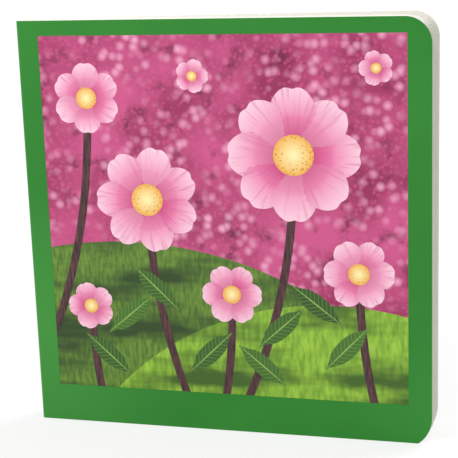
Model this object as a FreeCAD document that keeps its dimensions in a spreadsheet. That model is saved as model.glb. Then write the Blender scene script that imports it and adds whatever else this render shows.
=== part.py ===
import FreeCAD, Part
import os

import Sketcher

# A board book that stands on its bottom edge, a little fanned open.
# X runs from the spine to the fore edge, Y from the front cover to the back cover, Z up.
# The origin lies under the middle of the book. Lengths are in mm and angles in degrees.

SIZES = {
    "book_height": 200.0,
    "book_width": 197.0,
    "cover_board": 2.5,
    "spine_board": 1.6,
    "leaf_board": 1.4,
    "glued_width": 8.0,
    "fan_angle": 4.4,
    "corner_radius": 12.0,
    "fold_flat": 1.0,
    "hinge_gap": 0.3,
    "ground_print": 0.1,
    "motif_print": 0.1,
    "picture_spine_margin": 10.8,
    "picture_fore_margin": 10.9,
    "picture_top_margin": 7.2,
    "picture_bottom_margin": 18.9,
    "far_hill_radius": 190.0,
    "near_hill_radius": 150.0,
    "stem_bow": 300.0,
    "stem_width": 4.0,
    "leaf_arc": 26.0,
    "leaf_width": 9.0,
}

# How far each leaf has swung, as a share of the fan angle, from the front leaf to the rear one
LEAF_SWING = [0.04, 0.08, 0.14, 0.41, 0.57, 0.78]

# Each flower of the picture: where its heart is, as shares of the picture's width and height,
# the reach of its petals, how many there are, and the side its stem bows to, or 0 with no stem.
# The reaches go into the sheet as flower_0_reach, flower_1_reach and so on.
FLOWERS = [
    (0.70, 0.68, 32.0, 8, -1),
    (0.29, 0.55, 26.0, 7, 1),
    (0.87, 0.36, 17.0, 6, 1),
    (0.13, 0.83, 17.0, 6, -1),
    (0.52, 0.29, 15.0, 6, -1),
    (0.11, 0.24, 12.0, 5, 1),
    (0.43, 0.89, 8.0, 5, 0),
    (0.92, 0.91, 8.0, 5, 0),
]

# Each leaf of the picture: its middle as shares of the picture's width and height, and its turn
PICTURE_LEAVES = [
    (0.755, 0.27, 52.0),
    (0.655, 0.20, -48.0),
    (0.225, 0.22, -50.0),
    (0.305, 0.30, 46.0),
    (0.835, 0.15, -44.0),
    (0.455, 0.12, -46.0),
    (0.600, 0.09, 50.0),
    (0.155, 0.10, 48.0),
]

# Petals, heart and middle disc of a flower, as shares of the reach of its petals
PETAL_RADIUS = 0.34
PETAL_DISTANCE = 0.66
FLOWER_DISC = 0.55
HEART_RADIUS = 0.30

# Height of a hill's crown above the picture's bottom edge, and its place across, as shares
FAR_HILL = (0.22, 0.43)
NEAR_HILL = (0.80, 0.27)

for n, (_, _, reach, _, _) in enumerate(FLOWERS):
    SIZES[f"flower_{n}_reach"] = reach

doc = FreeCAD.newDocument("board_book")
sheet = doc.addObject("Spreadsheet::Sheet", "Sizes")
for row, (alias, value) in enumerate(SIZES.items(), start=1):
    sheet.set(f"A{row}", alias)
    sheet.set(f"B{row}", str(value))
    sheet.setAlias(f"B{row}", alias)
doc.recompute()

# Lengths that several pieces share, as expressions on the sheet
LEAF_COUNT = len(LEAF_SWING)
BLOCK_DEPTH = f"({LEAF_COUNT} * Sizes.leaf_board + 2 * Sizes.hinge_gap)"
FAN = "(Sizes.fan_angle * 1 deg)"
BACK_REACH = f"(Sizes.book_width * sin{FAN} + Sizes.cover_board * cos{FAN})"
BOOK_DEPTH = f"(Sizes.cover_board + {BLOCK_DEPTH} + {BACK_REACH})"
SPINE_X = "(-Sizes.book_width / 2)"
FRONT_HINGE_Y = f"(Sizes.cover_board - {BOOK_DEPTH} / 2)"
BACK_HINGE_Y = f"({FRONT_HINGE_Y} + {BLOCK_DEPTH})"
PICTURE_WIDTH = "(Sizes.book_width - Sizes.picture_spine_margin - Sizes.picture_fore_margin)"
PICTURE_HEIGHT = "(Sizes.book_height - Sizes.picture_top_margin - Sizes.picture_bottom_margin)"
GUTTER_X = "(Sizes.spine_board + Sizes.glued_width)"
PRINT_DEPTH = "(Sizes.ground_print + Sizes.motif_print)"


def place(piece, hinge_y, turn=None):
    """Stands a piece at one of the two hinge lines of the spine, turned about it if a turn is given."""
    piece.setExpression("Placement.Base.x", SPINE_X)
    piece.setExpression("Placement.Base.y", hinge_y)
    if turn:
        piece.setExpression("Placement.Rotation.Angle", turn)


def plane(body, role):
    """One of the body's own origin planes."""
    return next(f for f in body.Origin.OriginFeatures if f.Role == role)


def new_sketch(body, name, role):
    sketch = body.newObject("Sketcher::SketchObject", name)
    sketch.AttachmentSupport = [(plane(body, role), "")]
    sketch.MapMode = "FlatFace"
    return sketch


def draw_outline(sketch, points):
    """Draws a closed outline of straight lines through the points, joined end to end."""
    count = len(points)
    for n, point in enumerate(points):
        after = points[(n + 1) % count]
        sketch.addGeometry(Part.LineSegment(FreeCAD.Vector(*point, 0), FreeCAD.Vector(*after, 0)))
    for n in range(count):
        sketch.addConstraint(Sketcher.Constraint("Coincident", n, 2, (n + 1) % count, 1))


def bind(sketch, expression, kind, *where):
    """Adds a constraint and ties its value to the sheet."""
    number = sketch.addConstraint(Sketcher.Constraint(kind, *where))
    sketch.setExpression(f"Constraints[{number}]", expression)


def draw_rectangle(sketch, left, low, wide, high):
    """A rectangle, with its four sizes given as (first value, expression)."""
    x, z = left[0], low[0]
    draw_outline(sketch, [(x, z), (x + wide[0], z), (x + wide[0], z + high[0]), (x, z + high[0])])
    for side in (0, 2):
        sketch.addConstraint(Sketcher.Constraint("Horizontal", side))
    for side in (1, 3):
        sketch.addConstraint(Sketcher.Constraint("Vertical", side))
    for value, kind in ((left, "DistanceX"), (low, "DistanceY")):
        if value[1]:
            bind(sketch, value[1], kind, -1, 1, 0, 1, value[0])
        else:
            axis = -2 if kind == "DistanceX" else -1
            sketch.addConstraint(Sketcher.Constraint("PointOnObject", 0, 1, axis))
    bind(sketch, wide[1], "DistanceX", 0, 1, 0, 2, wide[0])
    bind(sketch, high[1], "DistanceY", 1, 1, 1, 2, high[0])


def pad(body, name, sketch, length, reverse=False):
    feature = body.newObject("PartDesign::Pad", name)
    feature.Profile = sketch
    feature.setExpression("Length", length)
    feature.Reversed = reverse
    doc.recompute()
    return feature


def edges_along(feature, axis, wanted):
    """Names of the straight edges that run along an axis and whose middle is wanted."""
    names = []
    for n, edge in enumerate(feature.Shape.Edges, start=1):
        if edge.Curve.TypeId != "Part::GeomLine":
            continue
        middle = edge.CenterOfMass
        if abs(edge.tangentAt(edge.FirstParameter).dot(axis)) > 0.99 and wanted(middle):
            names.append(f"Edge{n}")
    return names


def fillet(body, name, base, edges, radius):
    feature = body.newObject("PartDesign::Fillet", name)
    feature.Base = (base, edges)
    feature.setExpression("Radius", radius)
    doc.recompute()
    return feature


ALONG_X = FreeCAD.Vector(1, 0, 0)
ALONG_Y = FreeCAD.Vector(0, 1, 0)
ALONG_Z = FreeCAD.Vector(0, 0, 1)


def make_cover(name, backward):
    """A cover board from its hinge line to the fore edge, with the fold's rounded outside at the spine."""
    width = SIZES["book_width"]
    height = SIZES["book_height"]
    board = SIZES["cover_board"]
    body = doc.addObject("PartDesign::Body", name)
    outline = new_sketch(body, f"{name}_outline", "XZ_Plane")
    draw_rectangle(
        outline,
        (0.0, None),
        (0.0, None),
        (width, "Sizes.book_width"),
        (height, "Sizes.book_height"),
    )
    sheet_of_board = pad(body, f"{name}_board", outline, "Sizes.cover_board", reverse=backward)
    corners = edges_along(sheet_of_board, ALONG_Y, lambda middle: middle.x > width / 2)
    rounded = fillet(body, f"{name}_corners", sheet_of_board, corners, "Sizes.corner_radius")
    fold_edges = edges_along(
        rounded, ALONG_Z, lambda middle: middle.x < width / 2 and abs(middle.y) > board / 2
    )
    fillet(body, f"{name}_fold", rounded, fold_edges, "Sizes.cover_board - Sizes.fold_flat")
    return body


def make_front_cover():
    """The front cover has a shallow seat, which holds the printed picture."""
    body = make_cover("front_cover", backward=False)
    place(body, FRONT_HINGE_Y)
    seat = new_sketch(body, "picture_seat_outline", "XZ_Plane")
    seat.setExpression("AttachmentOffset.Base.z", "Sizes.cover_board")
    wide = SIZES["book_width"] - SIZES["picture_spine_margin"] - SIZES["picture_fore_margin"]
    high = SIZES["book_height"] - SIZES["picture_top_margin"] - SIZES["picture_bottom_margin"]
    draw_rectangle(
        seat,
        (SIZES["picture_spine_margin"], "Sizes.picture_spine_margin"),
        (SIZES["picture_bottom_margin"], "Sizes.picture_bottom_margin"),
        (wide, PICTURE_WIDTH),
        (high, PICTURE_HEIGHT),
    )
    before = body.Shape.Volume
    pocket = body.newObject("PartDesign::Pocket", "picture_seat")
    pocket.Profile = seat
    pocket.setExpression("Length", PRINT_DEPTH)
    doc.recompute()
    removed = before - body.Shape.Volume
    expected = wide * high * (SIZES["ground_print"] + SIZES["motif_print"])
    if abs(removed - expected) > 0.01 * expected:
        raise RuntimeError(f"the picture's seat removed {removed:.1f} mm3, not {expected:.1f}")
    return body


def make_back_cover():
    body = make_cover("back_cover", backward=True)
    place(body, BACK_HINGE_Y, "Sizes.fan_angle")
    return body


def make_spine():
    """The strip of the wrap between the two folds."""
    body = doc.addObject("PartDesign::Body", "spine")
    section = new_sketch(body, "spine_section", "XY_Plane")
    board = SIZES["spine_board"]
    gap = SIZES["hinge_gap"]
    block = LEAF_COUNT * SIZES["leaf_board"]
    draw_rectangle(
        section,
        (0.0, None),
        (gap, "Sizes.hinge_gap"),
        (board, "Sizes.spine_board"),
        (block, f"{LEAF_COUNT} * Sizes.leaf_board"),
    )
    pad(body, "spine_strip", section, "Sizes.book_height")
    place(body, FRONT_HINGE_Y)
    return body


def comb_points():
    """The page block's section, seen from above: each leaf's root and two tips, then the glued back."""
    gutter = SIZES["spine_board"] + SIZES["glued_width"]
    reach = SIZES["book_width"] - gutter
    board = SIZES["leaf_board"]
    points = []
    for n, swing in enumerate(LEAF_SWING):
        turn = FreeCAD.Rotation(ALONG_Z, swing * SIZES["fan_angle"])
        root = FreeCAD.Vector(gutter, SIZES["hinge_gap"] + n * board, 0)
        front_tip = root + turn.multVec(ALONG_X) * reach
        rear_tip = front_tip + turn.multVec(ALONG_Y) * board
        points += [(p.x, p.y) for p in (root, front_tip, rear_tip)]
    rear = SIZES["hinge_gap"] + LEAF_COUNT * board
    points += [(gutter, rear), (SIZES["spine_board"], rear), (SIZES["spine_board"], SIZES["hinge_gap"])]
    return points


def make_page_block():
    """The leaves, glued face to face along the spine and fanned towards the fore edge."""
    body = doc.addObject("PartDesign::Body", "page_block")
    section = new_sketch(body, "page_section", "XY_Plane")
    points = comb_points()
    draw_outline(section, points)
    reach = f"Sizes.book_width - {GUTTER_X}"
    reach_now = SIZES["book_width"] - SIZES["spine_board"] - SIZES["glued_width"]
    gutter_now = points[0][0]
    for n, swing in enumerate(LEAF_SWING):
        face = 3 * n
        end = face + 1
        turn = swing * SIZES["fan_angle"]
        root_y = f"Sizes.hinge_gap + {n} * Sizes.leaf_board"
        bind(section, GUTTER_X, "DistanceX", -1, 1, face, 1, gutter_now)
        bind(section, root_y, "DistanceY", -1, 1, face, 1, points[face][1])
        bind(section, f"{swing} * Sizes.fan_angle", "Angle", face, FreeCAD.Units.Quantity(f"{turn} deg"))
        bind(section, reach, "Distance", face, reach_now)
        section.addConstraint(Sketcher.Constraint("Perpendicular", face, end))
        bind(section, "Sizes.leaf_board", "Distance", end, SIZES["leaf_board"])
    rear_root = 3 * LEAF_COUNT
    rear_y = f"Sizes.hinge_gap + {LEAF_COUNT} * Sizes.leaf_board"
    bind(section, GUTTER_X, "DistanceX", -1, 1, rear_root, 1, gutter_now)
    bind(section, rear_y, "DistanceY", -1, 1, rear_root, 1, points[rear_root][1])
    section.addConstraint(Sketcher.Constraint("Horizontal", rear_root))
    section.addConstraint(Sketcher.Constraint("Vertical", rear_root + 1))
    section.addConstraint(Sketcher.Constraint("Horizontal", rear_root + 2))
    bind(section, "Sizes.spine_board", "DistanceX", -1, 1, rear_root + 1, 1, SIZES["spine_board"])
    block = pad(body, "leaves", section, "Sizes.book_height")
    height = SIZES["book_height"]
    half_way = SIZES["book_width"] / 2
    ends = []
    for n, edge in enumerate(block.Shape.Edges, start=1):
        middle = edge.CenterOfMass
        at_an_end = min(abs(middle.z), abs(middle.z - height)) < 0.001
        if at_an_end and middle.x > half_way and edge.Length < 2 * SIZES["leaf_board"]:
            ends.append(f"Edge{n}")
    fillet(body, "leaf_corners", block, ends, "Sizes.corner_radius")
    place(body, FRONT_HINGE_Y)
    return body


# The printed picture. The sky and the hills lie side by side on the floor of the seat. The motifs lie
# on them side by side and end flush with the front cover. Each layer is its inner side and its depth.

GROUND = (f"({PRINT_DEPTH} - Sizes.cover_board)", "Sizes.ground_print")
MOTIFS = ("(Sizes.motif_print - Sizes.cover_board)", "Sizes.motif_print")
INTO_FACE = FreeCAD.Rotation(ALONG_X, 90)


def across(share, more="0"):
    return f"Sizes.picture_spine_margin + {share} * {PICTURE_WIDTH} + {more}"


def up(share, more="0"):
    return f"Sizes.picture_bottom_margin + {share} * {PICTURE_HEIGHT} + {more}"


def disc(name, x, z, radius, layer=MOTIFS):
    """A round field, as deep as its layer."""
    inner_side, depth = layer
    made = doc.addObject("Part::Cylinder", name)
    made.Placement.Rotation = INTO_FACE
    made.setExpression("Radius", radius)
    made.setExpression("Height", depth)
    made.setExpression("Placement.Base.x", x)
    made.setExpression("Placement.Base.y", inner_side)
    made.setExpression("Placement.Base.z", z)
    return made


def panel(name, high, layer=MOTIFS):
    """The picture's rectangle, from its bottom edge up to a height."""
    inner_side, depth = layer
    made = doc.addObject("Part::Box", name)
    made.setExpression("Length", PICTURE_WIDTH)
    made.setExpression("Width", depth)
    made.setExpression("Height", high)
    made.setExpression("Placement.Base.x", "Sizes.picture_spine_margin")
    made.setExpression("Placement.Base.y", f"{inner_side} - {depth}")
    made.setExpression("Placement.Base.z", "Sizes.picture_bottom_margin")
    return made


def joined(name, pieces):
    made = doc.addObject("Part::MultiFuse", name)
    made.Shapes = pieces
    made.Refine = True
    return made


def without(name, base, tool):
    made = doc.addObject("Part::Cut", name)
    made.Base = base
    made.Tool = tool
    made.Refine = True
    return made


def shared(name, base, tool):
    made = doc.addObject("Part::Common", name)
    made.Base = base
    made.Tool = tool
    made.Refine = True
    return made


def make_petals():
    """Round petals about a middle disc, for every flower."""
    pieces = []
    for n, (x, z, _, count, _) in enumerate(FLOWERS):
        reach = f"Sizes.flower_{n}_reach"
        pieces.append(disc(f"flower_{n}_disc", across(x), up(z), f"{FLOWER_DISC} * {reach}"))
        for k in range(count):
            angle = 360.0 * (k + 0.5 * (n % 2)) / count
            side = f"{PETAL_DISTANCE} * {reach} * cos({angle} deg)"
            rise = f"{PETAL_DISTANCE} * {reach} * sin({angle} deg)"
            petal = disc(f"flower_{n}_petal_{k}", across(x, side), up(z, rise), f"{PETAL_RADIUS} * {reach}")
            pieces.append(petal)
    return joined("all_petals", pieces)


def make_hearts():
    pieces = []
    for n, (x, z, *_) in enumerate(FLOWERS):
        radius = f"{HEART_RADIUS} * Sizes.flower_{n}_reach"
        pieces.append(disc(f"flower_{n}_heart", across(x), up(z), radius))
    return joined("all_hearts", pieces)


def make_stems():
    """A bowed stem under each flower that has one: a slice of a wide ring, up to the flower's heart."""
    pieces = []
    for n, (x, z, _, _, side) in enumerate(FLOWERS):
        if not side:
            continue
        middle = across(x, f"{side} * Sizes.stem_bow")
        outer = disc(f"stem_{n}_outer", middle, up(z), "Sizes.stem_bow + Sizes.stem_width / 2")
        inner = disc(f"stem_{n}_inner", middle, up(z), "Sizes.stem_bow - Sizes.stem_width / 2")
        ring = without(f"stem_{n}_ring", outer, inner)
        pieces.append(shared(f"stem_{n}", ring, panel(f"stem_{n}_length", f"{z} * {PICTURE_HEIGHT}")))
    return joined("all_stems", pieces)


def make_picture_leaves():
    """Pointed leaves, each the overlap of two discs."""
    pieces = []
    apart = "(Sizes.leaf_arc - Sizes.leaf_width / 2)"
    for n, (x, z, turn) in enumerate(PICTURE_LEAVES):
        sides = []
        for name, sign in (("left", -1), ("right", 1)):
            along = f"{sign} * {apart} * cos({turn} deg)"
            rise = f"{sign} * {apart} * sin({turn} deg)"
            sides.append(disc(f"leaf_{n}_{name}", across(x, along), up(z, rise), "Sizes.leaf_arc"))
        pieces.append(shared(f"leaf_{n}", *sides))
    return joined("all_leaves", pieces)


def make_hill(name, crown, radius):
    """The part of a wide disc that rises into the picture."""
    x, z = crown
    mound = disc(f"{name}_disc", across(x), up(z, f"(-{radius})"), radius, GROUND)
    return shared(name, mound, panel(f"{name}_panel", PICTURE_HEIGHT, GROUND))


def side_by_side(stack, layer):
    """Shares a layer out among its fields, given from the foremost one, so that none overlap."""
    (first_name, covered), *behind = stack.items()
    fields = [shared(f"picture_{first_name}", covered, panel(f"{first_name}_limit", PICTURE_HEIGHT, layer))]
    for name, piece in behind:
        fields.append(without(f"picture_{name}", piece, covered))
        covered = joined(f"covered_by_{name}", [covered, piece])
    return fields


def make_picture():
    ground = {
        "near_hill": make_hill("near_hill", NEAR_HILL, "Sizes.near_hill_radius"),
        "far_hill": make_hill("far_hill", FAR_HILL, "Sizes.far_hill_radius"),
        "sky": panel("sky", PICTURE_HEIGHT, GROUND),
    }
    motifs = {
        "hearts": make_hearts(),
        "petals": make_petals(),
        "leaves": make_picture_leaves(),
        "stems": make_stems(),
    }
    fields = side_by_side(ground, GROUND) + side_by_side(motifs, MOTIFS)
    for field in fields:
        place(field, FRONT_HINGE_Y)
    return fields


pieces = [make_front_cover(), make_back_cover(), make_spine(), make_page_block(), *make_picture()]
for piece in pieces:
    piece.Label = piece.Name
doc.recompute()

for made in doc.Objects:
    if "Invalid" in made.State or "Error" in made.State:
        raise RuntimeError(f"{made.Name} failed: {made.State}")
for piece in pieces:
    if piece.Shape.isNull() or not piece.Shape.isValid():
        raise RuntimeError(f"{piece.Label} has no valid shape")

os.makedirs("parts", exist_ok=True)
for piece in pieces:
    piece.Shape.exportStep(f"parts/{piece.Label}.step")
    box = piece.Shape.BoundBox
    print(
        f"{piece.Label}: {len(piece.Shape.Solids)} solids, {piece.Shape.Volume:.1f} mm3,",
        f"x {box.XMin:.2f} to {box.XMax:.2f}, y {box.YMin:.2f} to {box.YMax:.2f},",
        f"z {box.ZMin:.2f} to {box.ZMax:.2f}",
    )
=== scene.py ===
# %% [markdown]
# # A board book, stood on end and a little fanned open
#
# A board book is a few thick card leaves between two thicker boards. One printed and varnished
# sheet wraps round all of it: over the front board, round the spine and over the back board. The
# card itself shows only where the book was cut, along the top, the bottom and the fore edge. This
# lesson builds the boards, the leaves and the spine from plain boxes, prints a picture on the
# front, and lights the book like a shop photograph. The frame below comes from the book's own
# solids. It gives every piece its place, and it is never changed.

# %% Load the frame
from math import asin, pi, radians, sin

import bpy
from mathutils import Euler, Matrix, Quaternion, Vector


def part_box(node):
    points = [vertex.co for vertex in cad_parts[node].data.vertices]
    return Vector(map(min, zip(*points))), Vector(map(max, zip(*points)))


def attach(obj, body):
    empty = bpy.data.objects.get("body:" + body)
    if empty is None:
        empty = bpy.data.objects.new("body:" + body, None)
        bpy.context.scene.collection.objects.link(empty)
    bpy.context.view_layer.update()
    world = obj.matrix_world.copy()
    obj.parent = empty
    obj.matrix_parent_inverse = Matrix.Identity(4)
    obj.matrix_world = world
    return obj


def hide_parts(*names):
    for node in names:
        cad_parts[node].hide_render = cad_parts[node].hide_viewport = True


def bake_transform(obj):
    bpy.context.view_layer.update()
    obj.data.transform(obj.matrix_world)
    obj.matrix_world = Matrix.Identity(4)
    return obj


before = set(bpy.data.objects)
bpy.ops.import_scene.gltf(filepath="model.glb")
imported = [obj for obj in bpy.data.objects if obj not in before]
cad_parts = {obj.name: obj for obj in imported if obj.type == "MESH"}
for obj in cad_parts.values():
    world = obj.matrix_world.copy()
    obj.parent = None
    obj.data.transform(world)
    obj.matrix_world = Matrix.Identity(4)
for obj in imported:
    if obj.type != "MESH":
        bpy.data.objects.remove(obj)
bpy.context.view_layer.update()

# %% [markdown]
# ## Sizes
#
# X runs from the spine to the fore edge, Y from the front of the book to its back, and Z up. Each
# place below is read off a solid of the frame. Only what a solid's box can't tell, such as how far
# the leaves have swung open, is written as a number, in metres or degrees.

# %% Read the sizes off the frame
MM = 0.001

cover_low, cover_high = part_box("front_cover")
spine_low, spine_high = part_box("spine")
block_low, block_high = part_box("page_block")
ground_low = Vector(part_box("picture_far_hill")[0])
ground_high = Vector(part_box("picture_sky")[1])

SPINE_X, FORE_X = cover_low[0], cover_high[0]
FRONT_Y, FRONT_HINGE_Y = cover_low[1], cover_high[1]
BOOK_HEIGHT = cover_high[2]
COVER_BOARD = FRONT_HINGE_Y - FRONT_Y
HINGE_GAP = spine_low[1] - FRONT_HINGE_Y
BACK_HINGE_Y = spine_high[1] + HINGE_GAP
GLUED_WIDTH = 8.0 * MM
GUTTER_X = block_low[0] + GLUED_WIDTH

LEAF_SWING = [0.04, 0.08, 0.14, 0.41, 0.57, 0.78]
LEAF_BOARD = (spine_high[1] - spine_low[1]) / len(LEAF_SWING)
FAN_ANGLE = radians(4.4)
CORNER_RADIUS = 12.0 * MM
FOLD_RADIUS = COVER_BOARD - 1.0 * MM

print(f"Covers {(FORE_X - SPINE_X) / MM:.1f} mm wide, {BOOK_HEIGHT / MM:.1f} mm tall")
print(f"Boards {COVER_BOARD / MM:.2f} mm, {len(LEAF_SWING)} leaves of {LEAF_BOARD / MM:.2f} mm")

# %% [markdown]
# ## The camera
#
# The book was seen a little from its right and from above, through a long lens that was held about
# two degrees out of level. An empty target and a tracking constraint would give the direction. Two
# angles and a roll say the same in three numbers, and leave nothing behind in the scene.

# %% Place the camera
VIEW_AZIMUTH = radians(15.57)
VIEW_ELEVATION = radians(13.33)
VIEW_ROLL = radians(2.0)
VIEW_PLACE = Vector(
    (FORE_X + 0.353 * BOOK_HEIGHT, FRONT_Y - 2.978 * BOOK_HEIGHT, 1.24 * BOOK_HEIGHT)
)
LENS = 105.96

bpy.ops.object.camera_add(location=VIEW_PLACE)
camera = bpy.context.object
camera.name = "camera"
camera.rotation_mode = "QUATERNION"
level_view = Euler((pi / 2 - VIEW_ELEVATION, 0, VIEW_AZIMUTH)).to_quaternion()
camera.rotation_quaternion = level_view @ Quaternion((0, 0, 1), -VIEW_ROLL)
camera.data.lens = LENS
camera.data.sensor_width = 36.0
camera.data.clip_start = 0.01
bpy.context.scene.camera = camera
print("Camera at", tuple(round(v, 3) for v in camera.location))

# %% [markdown]
# ## Helpers for modelling by hand
#
# Every board here starts as a box, and is then shaped in edit mode. What a person would click on is
# found in code, by its place or by which way it faces. So the helpers add a box or a flat face at
# its true place, select what passes a test and nothing else, and round edges or spin faces.


# %% Boxes and selections
def deselect_all():
    if bpy.context.object and bpy.context.object.mode != "OBJECT":
        bpy.ops.object.mode_set(mode="OBJECT")
    bpy.ops.object.select_all(action="DESELECT")


def settle(piece):
    """Puts the piece's place, turn and scale into its mesh."""
    deselect_all()
    piece.select_set(True)
    bpy.context.view_layer.objects.active = piece
    bpy.ops.object.transform_apply(location=True, rotation=True, scale=True)


def add_box(name, low, high):
    deselect_all()
    low, high = Vector(low), Vector(high)
    bpy.ops.mesh.primitive_cube_add(size=1, location=(low + high) / 2)
    box = bpy.context.object
    box.name = box.data.name = name
    box.scale = high - low
    settle(box)
    return box


def pick(piece, kind, wanted):
    """Enters edit mode with only the wanted vertices, edges or faces selected."""
    deselect_all()
    bpy.context.view_layer.objects.active = piece
    piece.select_set(True)
    bpy.ops.object.mode_set(mode="EDIT")
    bpy.ops.mesh.select_mode(type=kind)
    bpy.ops.mesh.select_all(action="DESELECT")
    bpy.ops.object.mode_set(mode="OBJECT")
    mesh = piece.data
    parts = {"VERT": mesh.vertices, "EDGE": mesh.edges, "FACE": mesh.polygons}[kind]
    count = 0
    for part in parts:
        part.select = bool(wanted(part))
        count += part.select
    bpy.ops.object.mode_set(mode="EDIT")
    return count


def done_editing():
    bpy.ops.object.mode_set(mode="OBJECT")


def pick_all(piece):
    pick(piece, "FACE", lambda f: True)


def weld(piece):
    """Joins the points that share a place and turns every face outwards."""
    pick_all(piece)
    bpy.ops.mesh.remove_doubles(threshold=1e-7)
    bpy.ops.mesh.normals_make_consistent(inside=False)
    done_editing()


def close(a, b, by=0.005 * MM):
    return abs(a - b) < by


def round_edges(piece, passes, radius, segments):
    """Rounds the edges whose two ends both pass a test."""
    points = piece.data.vertices
    pick(piece, "EDGE", lambda e: all(passes(points[v].co) for v in e.vertices))
    bpy.ops.mesh.bevel(offset=radius, segments=segments, affect="EDGES", clamp_overlap=False)
    done_editing()


def add_plate(name, size, place, turn=(0, 0, 0)):
    """One flat face of that size, turned and at its place."""
    deselect_all()
    bpy.ops.mesh.primitive_plane_add(size=1.0, rotation=turn)
    plate = bpy.context.object
    plate.name = plate.data.name = name
    plate.scale = (*size, 1)
    plate.location = place
    settle(plate)
    return plate


def spin(piece, steps, angle, centre, axis):
    pick_all(piece)
    bpy.ops.mesh.spin(steps=steps, angle=angle, center=centre, axis=axis, dupli=False)
    done_editing()


def copy_of(piece, name):
    """A copy with a mesh of its own."""
    twin = piece.copy()
    twin.data = piece.data.copy()
    twin.name = twin.data.name = name
    bpy.context.collection.objects.link(twin)
    return twin


def join_as(name, pieces):
    deselect_all()
    for piece in pieces:
        piece.select_set(True)
    bpy.context.view_layer.objects.active = pieces[0]
    if len(pieces) > 1:
        bpy.ops.object.join()
    joined = bpy.context.object
    joined.name = joined.data.name = name
    return joined


def write_values(piece, name, values):
    """Gives each point of a piece a value of that name."""
    layer = piece.data.attributes.get(name) or piece.data.attributes.new(name, "FLOAT", "POINT")
    layer.data.foreach_set("value", values)


def report(piece):
    faces = piece.data.polygons
    print(f"{piece.name}: {len(faces)} faces, {sum(len(f.vertices) - 2 for f in faces)} triangles")


# %% [markdown]
# ## Helpers for finishes
#
# A finish is a shader with a few nodes that work its colour, roughness and relief out of the
# surface's own place. A node's inputs are either plain values or other nodes' outputs, so one
# helper takes both. Colours are written as they are read off a screen, and turned into light
# values.


# %% Nodes and colours
def tint(red, green, blue):
    """A screen colour, 0 to 255, as the light value that a shader takes."""
    shares = [value / 255 for value in (red, green, blue)]
    return (*[s / 12.92 if s <= 0.04045 else ((s + 0.055) / 1.055) ** 2.4 for s in shares], 1.0)


def new_finish(name, roughness, specular=0.5):
    material = bpy.data.materials.new(name)
    material.use_nodes = True
    shader = material.node_tree.nodes["Principled BSDF"]
    shader.inputs["Roughness"].default_value = roughness
    shader.inputs["Specular IOR Level"].default_value = specular
    return material, material.node_tree, shader


def feed(tree, socket, value):
    """Links another node's output to a socket, or sets the socket to a plain value."""
    if isinstance(value, bpy.types.NodeSocket):
        tree.links.new(value, socket)
    else:
        socket.default_value = value


def node(tree, kind, settings=(), **inputs):
    """Adds a node. An input that is another node's output is linked, and any other is set."""
    made = tree.nodes.new(kind)
    for name, value in dict(settings).items():
        setattr(made, name, value)
    for name, value in inputs.items():
        feed(tree, made.inputs[name.replace("_", " ")], value)
    return made


def maths(tree, operation, a, b=0.0):
    made = node(tree, "ShaderNodeMath", {"operation": operation})
    feed(tree, made.inputs[0], a)
    feed(tree, made.inputs[1], b)
    return made.outputs[0]


def times(tree, a, b):
    return maths(tree, "MULTIPLY", a, b)


def mix(tree, share, a, b):
    """Mixes two colours by a share from 0 to 1."""
    made = node(tree, "ShaderNodeMix", {"data_type": "RGBA"})
    for socket, value in ((0, share), (6, a), (7, b)):
        feed(tree, made.inputs[socket], value)
    return made.outputs[2]


def between(tree, value, low, high):
    """0 below low, 1 above high and even in between. A low above high turns it round."""
    return node(tree, "ShaderNodeMapRange", Value=value, From_Min=low, From_Max=high).outputs[0]


def spread(tree, value, low, high):
    """Spreads a value from 0 to 1 over the range from low to high."""
    return node(tree, "ShaderNodeMapRange", Value=value, To_Min=low, To_Max=high).outputs[0]


def noise(tree, place, scale, detail=2.0, rough=0.5, stretch=(1, 1, 1)):
    """A cloudy value around 0.5, as fine as the scale in clouds per metre."""
    if stretch != (1, 1, 1):
        place = node(tree, "ShaderNodeMapping", Vector=place, Scale=stretch).outputs[0]
    return node(
        tree, "ShaderNodeTexNoise", Vector=place, Scale=scale, Detail=detail, Roughness=rough
    ).outputs[0]


def stored(tree, name):
    """The value of that name that each point of a piece carries."""
    return node(tree, "ShaderNodeAttribute", {"attribute_name": name}).outputs["Fac"]


def length_of(tree, vector):
    made = node(tree, "ShaderNodeVectorMath", {"operation": "LENGTH"}, Vector=vector)
    return made.outputs["Value"]


def own_place(tree):
    return node(tree, "ShaderNodeTexCoord").outputs["Object"]


def distance_from(tree, point):
    """How far each place of the object is from a point, in metres."""
    moved = node(tree, "ShaderNodeMapping", Vector=own_place(tree), Location=[-v for v in point])
    return length_of(tree, moved.outputs[0])


def paint(tree, shader, colour):
    tree.links.new(colour, shader.inputs["Base Color"])


def relief(tree, shader, height, depth):
    """Raises the surface by a height value from 0 to 1, of that depth in metres."""
    bump = node(tree, "ShaderNodeBump", Height=height, Distance=depth, Strength=1.0)
    tree.links.new(bump.outputs[0], shader.inputs["Normal"])


# %% [markdown]
# ## The wrap's green print
#
# The wrap is coated paper, printed solid green and sealed with a satin varnish. A solid print is
# never quite even: the ink lies a little thicker in places, and the varnish has a faint ripple from
# the roller. Handling has lightened the rim where the board was cut. A patch low at the spine is
# painted paler: a painted sheen, where the varnish catches the light. A board carries an attribute
# that is 1 where the wrap meets the cut.

# %% Make the green print
GREEN = tint(38, 130, 38)
GREEN_DEEP = tint(28, 122, 32)
GREEN_WORN = tint(112, 166, 102)
# A painted sheen: a paler green painted in a patch low at the spine, with its middle, reach and
# share
GREEN_SHEEN = tint(82, 166, 74)
SHEEN_AT = (SPINE_X, 0, 35 * MM)
SHEEN_NEAR = 20 * MM
SHEEN_FAR = 85 * MM
SHEEN_SHARE = 0.35


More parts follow.
